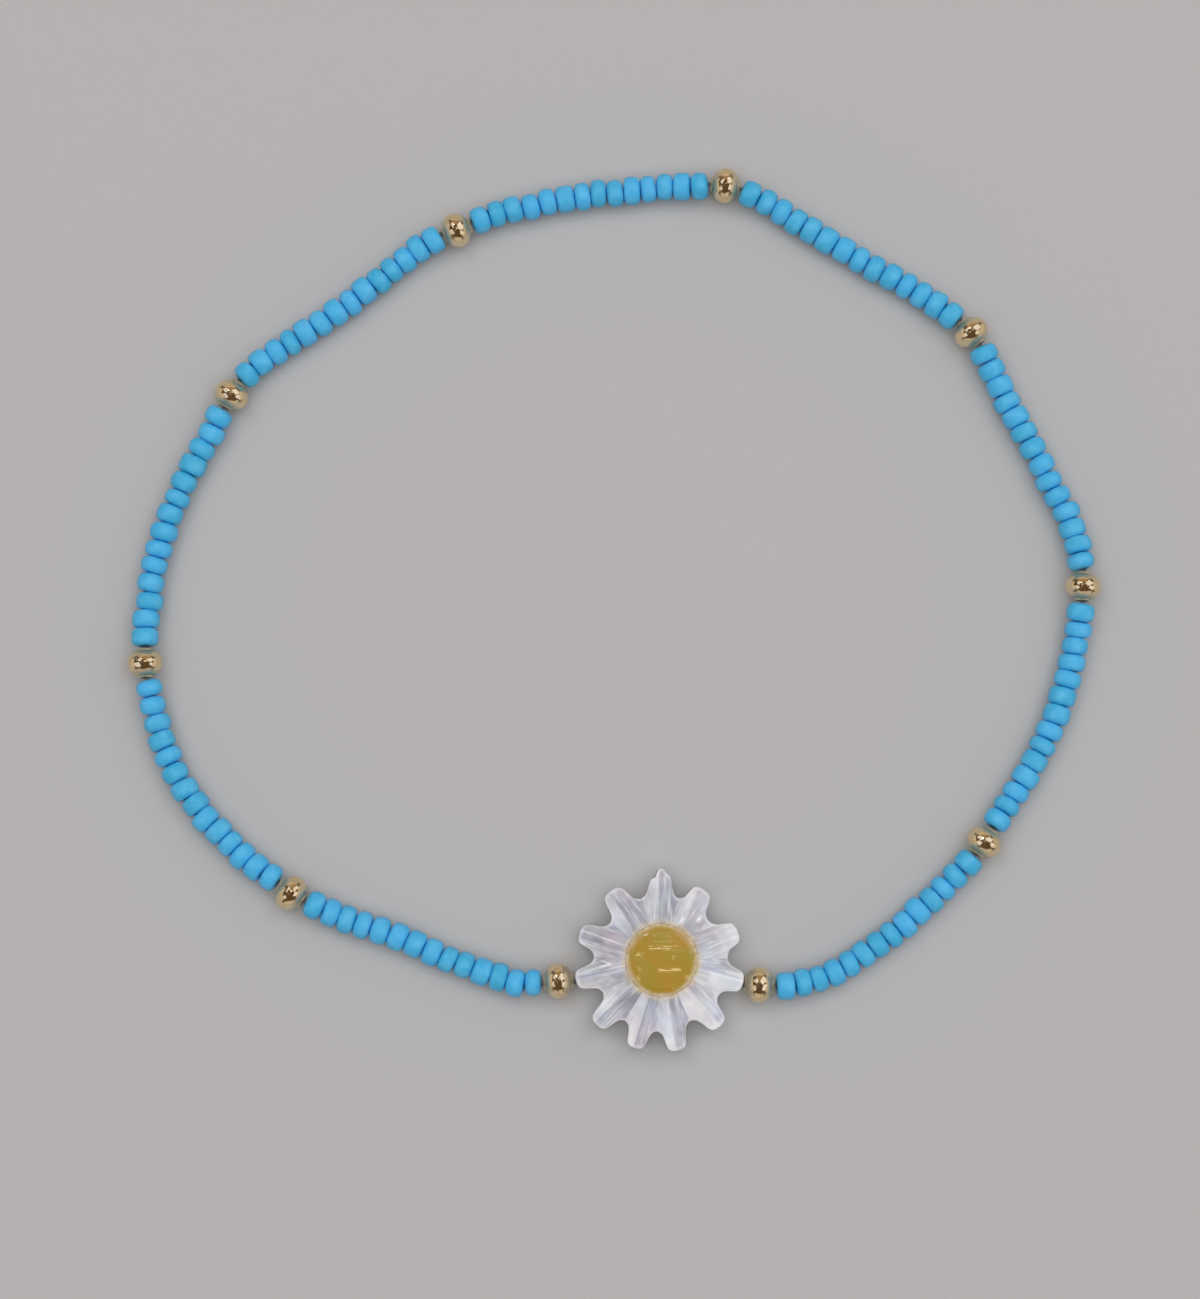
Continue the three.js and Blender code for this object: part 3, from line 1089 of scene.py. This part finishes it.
@dataclass
class Daisy(Assembly):
    """A flower carved from one plate of shell, with a ridge on each petal and a seat in the middle."""

    UV_STEP: ClassVar[int] = 4  # how far apart the petals lie in the map of the bands

    middle: Vector
    thread: tuple[Vector, Vector]
    seat_radius: float = 2.5
    seat_floor: float = 2.1
    lip_radius: float = 2.43
    lip_drop: float = 0.05
    lip_depth: float = 0.15
    lip_round: float = 0.02
    # how far out from the seat the painted reflection of the yellow centre reaches
    yellow_reflection_width: float = 0.45
    collar_radius: float = 2.6
    notch_radius: float = 4.6
    outer_radius: float = 6.1
    ridge: tuple[float, float] = (2.75, 2.4)
    valley: tuple[float, float] = (0.12, 0.6)
    crown: float = 0.3  # how much of the ridge is rounded off, from 0 to 1
    back_round: float = 0.25
    # the share of the painted rim highlight on the back's rounded edge
    back_rim_highlight: float = 0.3  # of its edge there, where the rim has 1
    rim_round: float = 0.13
    tip_fall: float = 0.12
    tip_length: float = 0.9
    groove_depth: float = 0.04
    groove_width: float = 0.08
    groove_fade: tuple[float, float] = (0.1, 1.0)  # where it sets in, out from the seat
    ridge_width: float = 0.12  # half of the ridge's own width
    # painted shade: the petals are painted greyer in the hollows where they meet
    painted_hollow_shade: float = 0.4  # how much greyer the petals are where they meet
    bore_sides: int = 32
    half_columns: int = 22
    face_rings: int = 16
    arc_rings: int = 4

    def build(self) -> None:
        """Carves the flower and bores it."""
        columns = self.columns()
        rings = len(self.section(columns[0])) - 1
        shape = bmesh.new()
        bmesh.ops.create_uvsphere(shape, u_segments=len(columns), v_segments=rings, radius=1.0)
        names = ("facet", "line", "rim", "seat", "painted_glint", "across", "out")
        layers = {name: shape.verts.layers.float.new(name) for name in names}
        for vert in shape.verts:
            turn = math.atan2(vert.co.y, vert.co.x) / (2 * math.pi) * len(columns)
            column = columns[round(turn) % len(columns)]
            radius, height, rim_highlight = self.section(column)[ring_number(vert, rings)]
            vert.co = polar(radius, math.radians(column.angle), height)
            # facet is partly painted light and shade, line painted shade in the grooves, rim a painted
            # highlight, seat a painted reflection, glint painted glints
            traits = {
                "facet": self.facet_tone_and_shade(column, radius),
                "line": self.groove_share(column, radius),
                "rim": rim_highlight,
                "seat": smoothstep(self.seat_radius + self.yellow_reflection_width, self.seat_radius, radius),
                "painted_glint": max(painted_glint.share(column.angle, radius) for painted_glint in PAINTED_GLINTS),
                "across": self.across(column, radius) + self.UV_STEP * column.petal,
                "out": radius,
            }
            for name, value in traits.items():
                vert[layers[name]] = value
        uv = shape.loops.layers.uv.new("petals")
        for face in shape.faces:
            for loop in face.loops:
                loop[uv].uv = [loop.vert[layers[name]] * MM for name in ("across", "out")]
        bmesh.ops.translate(shape, vec=self.middle.to_2d().to_3d(), verts=shape.verts)
        self.drill(self.piece("shell_daisy", shape, MotherOfPearl(), ["daisy_petals"]))

    def columns(self) -> list[Column]:
        """Lists the surface's lines.

        Returns:
            The lines, anticlockwise from the first ridge.
        """
        made = []
        for i, petal in enumerate(PETALS):
            following = PETALS[(i + 1) % len(PETALS)]
            half_turn = ((following.angle - petal.angle) % 360) / 2
            sides = (
                (i, petal, 1, range(self.half_columns)),
                ((i + 1) % len(PETALS), following, -1, range(self.half_columns, 0, -1)),
            )
            for number, owner, side, steps in sides:
                for step in steps:
                    share = step / self.half_columns
                    radius = self.edge_radius(owner, side, petal.notch, share)
                    angle = owner.angle + side * share * half_turn
                    made.append(Column(number, side, share, half_turn, angle, radius))
        return made

    def edge_radius(self, petal: Petal, side: int, notch: float, share: float) -> float:
        """Works out how far out a petal's edge is.

        Args:
            petal: The petal.
            side: 1 anticlockwise of its ridge and -1 clockwise of it.
            notch: How far out the notch on that side ends.
            share: The share of the way from the ridge to that notch.

        Returns:
            The radius there.
        """
        reach = eased(PETAL_EDGE, share)
        ground = petal.ground[1 if side > 0 else 0]
        return lerp(notch, petal.tip, reach) - smoothstep(*CORNER_SHARES, share) * reach**2 * ground

    def across(self, column: Column, radius: float) -> float:
        """Returns how far beside its ridge a column is at a radius, less than 0 on the right side."""
        return column.side * radius * math.sin(math.radians(column.share * column.half_turn))

    def facet_tone_and_shade(self, column: Column, radius: float) -> float:
        """Works out the nacre's shade: partly its own tone, partly painted light and shade on each side of
        the ridge.

        Args:
            column: The column.
            radius: The distance along it from the daisy's middle.

        Returns:
            From 0, white, to 1, grey, and a little more as painted shade in the hollows where petals meet.
        """
        first, second = PETALS[column.petal].tones_and_shade
        beside = self.across(column, radius) - PETALS[column.petal].line
        # painted shade in the hollows between the petals
        hollow = self.painted_hollow_shade * smoothstep(self.notch_radius, self.seat_radius, radius)
        return lerp(first, second, smoothstep(-self.ridge_width, self.ridge_width, beside)) + hollow

    def groove_share(self, column: Column, radius: float) -> float:
        """Works out how much of a petal's groove there is, which sets its depth and the painted shade
        along it.

        Args:
            column: The column.
            radius: The distance along it from the daisy's middle.

        Returns:
            From 0, none, to the line's full strength.
        """
        beside = self.across(column, radius) - PETALS[column.petal].line
        fade = smoothstep(*self.groove_fade, radius - self.seat_radius)
        return PETALS[column.petal].crease * bell(beside, self.groove_width) * fade

    def face_height(self, column: Column, radius: float) -> float:
        """Works out how high the carved face is.

        Args:
            column: The column.
            radius: The distance along it from the daisy's middle.

        Returns:
            The height above the back.
        """
        petal = PETALS[column.petal]
        out = share_of(self.seat_radius, self.outer_radius, radius)
        deep = share_of(self.seat_radius, self.notch_radius, radius)
        rounded = 1 - math.cos(column.share * math.pi / 2)
        fall = lerp(column.share, rounded, self.crown)
        height = lerp(*self.ridge, out) - lerp(*self.valley, deep) * fall
        height -= self.groove_depth * self.groove_share(column, radius)
        return height - self.tip_fall * smoothstep(petal.tip - self.tip_length, petal.tip, radius)

    def section(self, column: Column) -> list[tuple[float, float, float]]:
        """Works out a column's line.

        Args:
            column: The column.

        Returns:
            Its points from the middle of the back to the middle of the seat: the radius, the height
            and the painted rim highlight, from 0 to 1 on the rim.
        """
        inner = column.radius - self.back_round
        points = [(0.0, 0.0, 0.0), (inner * 0.5, 0.0, 0.0)]
        turns = [math.pi / 2 * i / self.arc_rings for i in range(self.arc_rings + 1)]
        for turn in turns:
            out, up = self.back_round * math.sin(turn), self.back_round * (1 - math.cos(turn))
            points.append((inner + out, up, self.back_rim_highlight))
        edge = column.radius - self.rim_round
        top = self.face_height(column, edge)
        for turn in turns:
            out, down = self.rim_round * math.cos(turn), self.rim_round * (1 - math.sin(turn))
            points.append((edge + out, top - down, 1.0))
        for i in range(1, self.face_rings + 1):
            radius = lerp(edge, self.collar_radius, i / self.face_rings)
            points.append((radius, self.face_height(column, radius), 0.0))
        lip = self.ridge[0] - self.lip_drop - self.valley[0] * 0.5
        seat = (
            (lerp(self.lip_radius, self.collar_radius, 0.5), lip + self.lip_round),
            (self.lip_radius, lip - self.lip_round),
            (self.lip_radius, lip - self.lip_depth * 0.5),
            (self.seat_radius, lip - self.lip_depth),
            (self.seat_radius, self.seat_floor),
            (self.seat_radius * 0.5, self.seat_floor),
            (0.0, self.seat_floor),
        )
        return points + [(radius, height, 0.0) for radius, height in seat]

    def drill(self, flower: bpy.types.Object) -> None:
        """Bores the flower for the thread.

        Args:
            flower: The finished flower.
        """
        start, end = self.thread
        shape = bmesh.new()
        bmesh.ops.create_cone(
            shape,
            cap_ends=True,
            segments=self.bore_sides,
            radius1=BORE / 2,
            radius2=BORE / 2,
            depth=2 * (end - start).length,
        )
        turned = (end - start).to_track_quat("Z", "Y").to_matrix().to_4x4()
        placed = Matrix.Translation((start + end) / 2) @ turned
        bmesh.ops.transform(shape, matrix=placed, verts=shape.verts)
        mesh = finished_mesh("drill", shape)
        bit = add_object("drill", mesh)
        cut = flower.modifiers.new("bore", "BOOLEAN")
        cut.operation = "DIFFERENCE"
        cut.object = bit
        cut.solver = "EXACT"
        bored = evaluated_mesh(flower)
        flower.modifiers.remove(cut)
        flower.data = bored
        bpy.data.objects.remove(bit)
        bpy.data.meshes.remove(mesh)


@dataclass(frozen=True)
class PaleStreakRow:
    """A row of pale gold streaks across the dome, from its middle: its place along Y and ends along X."""

    y: float
    start: float
    end: float
    half_width: float = 0.13
    FADE: ClassVar[float] = 0.2

    def share(self, place: Vector) -> float:
        """Works out how much of the row there is.

        Args:
            place: The place, from the dome's middle.

        Returns:
            From 0, none, to 1.
        """
        beside = bell(place.y - self.y, self.half_width)
        ends = smoothstep(self.start, self.start + self.FADE, place.x)
        return beside * ends * smoothstep(self.end, self.end - self.FADE, place.x)


@dataclass
class DaisyCentre(Assembly):
    """The low yellow dome in the daisy's seat."""

    middle: Vector
    floor: float
    top: float
    foot_radius: float = 2.38
    foot: float = 0.51  # the height of the part inside the seat
    back_ring: float = 0.6  # where the flat back has a ring of its mesh, as a share of its radius
    edge_radius: float = 2.48  # it covers the seat's edge
    edge_slope: float = 40.0  # how steeply it falls there, in degrees
    shoulder: float = 1.15  # the radius of its rounded shoulder
    dome_radius: float = 13.9  # of its top's curve
    rim_width: float = 0.36
    rim_fade: float = 0.34
    wave_height: float = 0.02
    wave_reach: float = 0.7  # the share of the radius out to which the waves keep their height
    wave_size: tuple[float, float] = (2.4, 0.42)  # along X and Y
    sides: int = 128
    dome_rings: int = 32
    arc_rings: int = 10
    # Where the rows of pale gold streaks lie in the dome's colour.
    pale_streak_rows: tuple[PaleStreakRow, ...] = (
        PaleStreakRow(0.84, -0.95, 1.2),
        PaleStreakRow(0.36, -1.85, -1.15),
        PaleStreakRow(0.22, 0.65, 0.95, 0.2),
        PaleStreakRow(-0.68, -0.35, 1.4),
        PaleStreakRow(-0.65, -1.8, -1.35, 0.1),
        PaleStreakRow(-1.35, -1.8, -1.4, 0.2),
        PaleStreakRow(-1.1, 1.5, 2.1),
        PaleStreakRow(-2.0, 0.65, 0.95, 0.2),
    )

    def build(self) -> None:
        """Turns the dome on the lathe, and leaves its top a little wavy."""
        outline = self.outline()
        rings = len(outline) - 1
        shape = bmesh.new()
        rim = shape.verts.layers.float.new("rim")
        pale_streaks = shape.verts.layers.float.new("pale_streaks")
        bmesh.ops.create_uvsphere(shape, u_segments=self.sides, v_segments=rings, radius=1.0)
        rim_start = self.edge_radius - self.rim_width
        for vert in shape.verts:
            out, height = outline[ring_number(vert, rings)]
            vert.co = polar(out, math.atan2(vert.co.y, vert.co.x), height)
            inside = smoothstep(self.edge_radius, self.edge_radius * self.wave_reach, out)
            if height > self.foot:
                wave = noise.noise((vert.co.x / self.wave_size[0], vert.co.y / self.wave_size[1], 0)) - 0.5
                vert.co.z += self.wave_height * wave * inside
            # rim carries the painted highlight round the dome's edge
            vert[rim] = smoothstep(rim_start, rim_start + self.rim_fade, out)
            # how much of the rows of pale gold streaks lies here
            vert[pale_streaks] = max(row.share(vert.co) for row in self.pale_streak_rows)
        bmesh.ops.translate(shape, vec=(self.middle.x, self.middle.y, self.floor), verts=shape.verts)
        self.piece("yellow_dome", shape, YellowShell(), ["daisy_centre"])

    def outline(self) -> list[tuple[float, float]]:
        """Works out the dome's outline.

        Returns:
            Its points from the middle of the back to the top: radius and height.
        """
        top = self.top - self.floor - self.wave_height / 2
        foot = self.foot_radius
        points = [(0.0, 0.0), (foot * self.back_ring, 0.0), (foot, 0.0), (foot, self.foot)]
        steepest = math.radians(self.edge_slope)
        arc = self.edge_radius - self.shoulder * math.sin(steepest)
        arc_height = top - self.sag(arc)
        for i in range(self.arc_rings + 1):
            slope = steepest * (1 - i / self.arc_rings)
            down = self.shoulder * (1 - math.cos(slope))
            points.append((arc + self.shoulder * math.sin(slope), arc_height - down))
        for i in range(1, self.dome_rings + 1):
            out = arc * (1 - i / self.dome_rings)
            points.append((out, top - self.sag(out)))
        return points

    def sag(self, out: float) -> float:
        """Returns how far the top has fallen at a radius."""
        return self.dome_radius - math.sqrt(self.dome_radius**2 - out**2)


@dataclass
class ElasticLoop(Assembly):
    """The clear cord that everything is strung on, as one closed loop."""

    points: list[Vector]
    diameter: float = 0.5

    def build(self) -> None:
        """Draws the cord through the points."""
        line = bpy.data.curves.new("elastic", "CURVE")
        line.dimensions = "3D"
        line.bevel_depth = self.diameter / 2
        line.bevel_resolution = 3
        spline = line.splines.new("POLY")
        spline.points.add(len(self.points) - 1)
        for point, place in zip(spline.points, self.points):
            point.co = (*place, 1)
        spline.use_cyclic_u = True
        drawn = add_object("elastic", line)
        mesh = evaluated_mesh(drawn)
        shape = bmesh.new()
        shape.from_mesh(mesh)
        bmesh.ops.remove_doubles(shape, verts=shape.verts, dist=TINY)
        bpy.data.objects.remove(drawn)
        bpy.data.meshes.remove(mesh)
        bpy.data.curves.remove(line)
        self.piece("elastic_loop", shape, ClearElastic(), ["elastic_cord"])


# --- Studio ---


@dataclass(frozen=True)
class SoftBox:
    """A soft light, turned to the bracelet.

    azimuth and elevation are in degrees, the rest in millimetres. brightness is its face's, where 1
    is that of a white sheet of paper in the studio. Polished things show it where it is mirrored.
    """

    name: str
    azimuth: float
    elevation: float
    distance: float
    width: float
    height: float
    brightness: float
    colour: str = "#FFFFFF"
    mirrored: bool = True


@dataclass
class Studio:
    """The floor, the lights and the camera."""

    boxes: tuple[SoftBox, ...] = (
        SoftBox("window_upper_right", 34, 46, 900, 560, 720, 0.98, "#EAF0FF"),
        SoftBox("window_upper_left", 140, 50, 900, 500, 460, 0.85, "#E6EEFF"),
        SoftBox("window_lower_left", 206, 40, 900, 520, 460, 0.85, "#E6EEFF"),
        SoftBox("window_lower_right", 338, 38, 900, 480, 460, 0.98, "#EAF0FF"),
        SoftBox("wall", 90, 40, 900, 760, 620, 0.34, "#E2C8A6"),
        SoftBox("curtain_left", 180, 13, 1100, 1500, 500, 0.5, "#F0E8DA"),
        SoftBox("curtain_right", 0, 13, 1100, 1500, 500, 0.5, "#F0E8DA"),
        SoftBox("curtain_front", 270, 13, 1100, 1500, 500, 0.46, "#F0E8DA"),
        SoftBox("curtain_back", 90, 13, 1100, 1500, 500, 0.4, "#F0E0C8"),
        SoftBox("beam_right", 48, 76, 700, 190, 150, 0.42, "#E6DACA"),
        SoftBox("beam_left", 212, 77, 700, 170, 130, 0.34, "#E6DACA"),
        SoftBox("ceiling", 90, 88, 1000, 1400, 1400, 1.42, "#FCFBF8", mirrored=False),
        SoftBox("lamp", 118, 60, 900, 70, 70, 9.0, "#FFFFFF"),
        SoftBox("strip", 90, 80, 300, 80, 6, 3.0, "#FFF4E0"),
    )
    floor_radius: float = 1500.0
    # Each step up of the floor's edge: how many times as wide it gets, and how much higher.
    sweep: tuple[tuple[float, float], ...] = ((1.06, 20), (1.05, 90), (1.03, 230), (1.01, 450))
    surroundings: str = "#5F4D3D"
    surroundings_light: float = 1.0
    aim: Vector = field(default_factory=lambda: Vector((-1.01, -3.03, 1.15)))
    camera_distance: float = 260.0
    camera_lean: float = 5.0
    view_height: float = 90.93
    nearest: float = 10.0  # what the camera sees starts here
    sensor: float = 36.0

    def build(self) -> None:
        """Sets up the floor, the lights and the camera."""
        self.floor()
        self.world()
        for box in self.boxes:
            self.lamp(box)
        self.camera()

    def floor(self) -> None:
        """Lays the board, with its edge swept up far behind the bracelet."""
        shape = bmesh.new()
        bmesh.ops.create_circle(shape, cap_ends=True, segments=96, radius=self.floor_radius)
        rim = [e for e in shape.edges if e.is_boundary]
        for grow, rise in self.sweep:
            rim = draw_out(shape, rim, grow, rise)
        mesh = finished_mesh("floor", shape)
        mesh.shade_smooth()
        mesh.materials.append(PaleFloor().material())
        floor = add_object("floor", mesh)

    def world(self) -> None:
        """Leaves the room behind the lights dim and warm, which polished metal shows."""
        world = bpy.data.worlds.new("room")
        world.use_nodes = True
        background = world.node_tree.nodes["Background"]
        background.inputs["Color"].default_value = srgb(self.surroundings)
        background.inputs["Strength"].default_value = self.surroundings_light
        bpy.context.scene.world = world

    def lamp(self, box: SoftBox) -> None:
        """Hangs one soft light, turned to the bracelet.

        Args:
            box: The light.
        """
        data = bpy.data.lights.new(box.name, "AREA")
        data.shape = "RECTANGLE"
        data.size = box.width * MM
        data.size_y = box.height * MM
        data.energy = box.brightness * math.pi * data.size * data.size_y
        data.color = srgb(box.colour)[:3]
        azimuth, elevation = math.radians(box.azimuth), math.radians(box.elevation)
        level, height = box.distance * math.cos(elevation), box.distance * math.sin(elevation)
        lamp = add_object(box.name, data)
        lamp.location = polar(level, azimuth, height) * MM
        lamp.rotation_euler = (math.pi / 2 - elevation, 0, azimuth + math.pi / 2)
        lamp.visible_camera = False
        lamp.visible_glossy = box.mirrored

    def camera(self) -> None:
        """Stands the camera almost straight above the bracelet."""
        data = bpy.data.cameras.new("camera")
        data.sensor_width = self.sensor
        data.lens = self.sensor * self.camera_distance / self.view_height
        data.clip_start = self.nearest * MM
        lean = math.radians(self.camera_lean)
        back = Vector((0, -math.sin(lean), math.cos(lean)))
        camera = add_object("camera", data)
        camera.location = (self.aim + back * self.camera_distance) * MM
        camera.rotation_euler = (lean, 0, 0)
        bpy.context.scene.camera = camera
        bpy.context.scene.view_settings.view_transform = "Standard"


def thread_points(curves: dict[str, RunCurve]) -> list[Vector]:
    """Lists the cord's points in order.

    Args:
        curves: The runs by the name of the ball that each starts from.

    Returns:
        The points of each run, from the middle of the ball before it.
    """
    points = []
    for run in RUNS:
        curve = curves[run.start]
        points += [curve.point(curve.length * i / CORD_STEPS) for i in range(CORD_STEPS)]
        if run.end not in curves:
            points.append(curve.point(curve.length))
    return points


def main() -> None:
    """Builds the bracelet piece by piece and sets up the studio."""
    logging.basicConfig(level=logging.INFO, format="%(message)s")
    Studio().build()
    curves = {run.start: RunCurve(run) for run in RUNS}
    bead = SeedBead()
    forms = {form: bead.mesh(form) for form in BeadForm}
    arriving = {run.end: curves[run.start].direction(curves[run.start].length) for run in RUNS}
    leaving = {run.start: curves[run.start].direction(0.0) for run in RUNS}
    left, right = node_middle("gold_bead_daisy_left"), node_middle("gold_bead_daisy_right")
    leaving["daisy_left"] = arriving["daisy_right"] = (right - left).normalized()
    assemblies: list[Assembly] = [SeedRun(i + 1, curves[run.start], forms) for i, run in enumerate(RUNS)]
    for name in sorted(arriving):
        heading = (arriving[name] + leaving[name]).to_2d().to_3d().normalized()
        assemblies.append(GoldBall(name, node_middle(f"gold_bead_{name}"), heading))
    centre_low, centre_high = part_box("daisy_centre")
    middle = node_middle("daisy_centre")
    assemblies.append(Daisy(middle, (left, right)))
    assemblies.append(DaisyCentre(middle, centre_low.z / MM, centre_high.z / MM))
    assemblies.append(ElasticLoop(thread_points(curves)))
    for assembly in assemblies:
        assembly.build()
    for mesh in forms.values():
        bpy.data.meshes.remove(mesh)


if __name__ == "__main__":
    main()
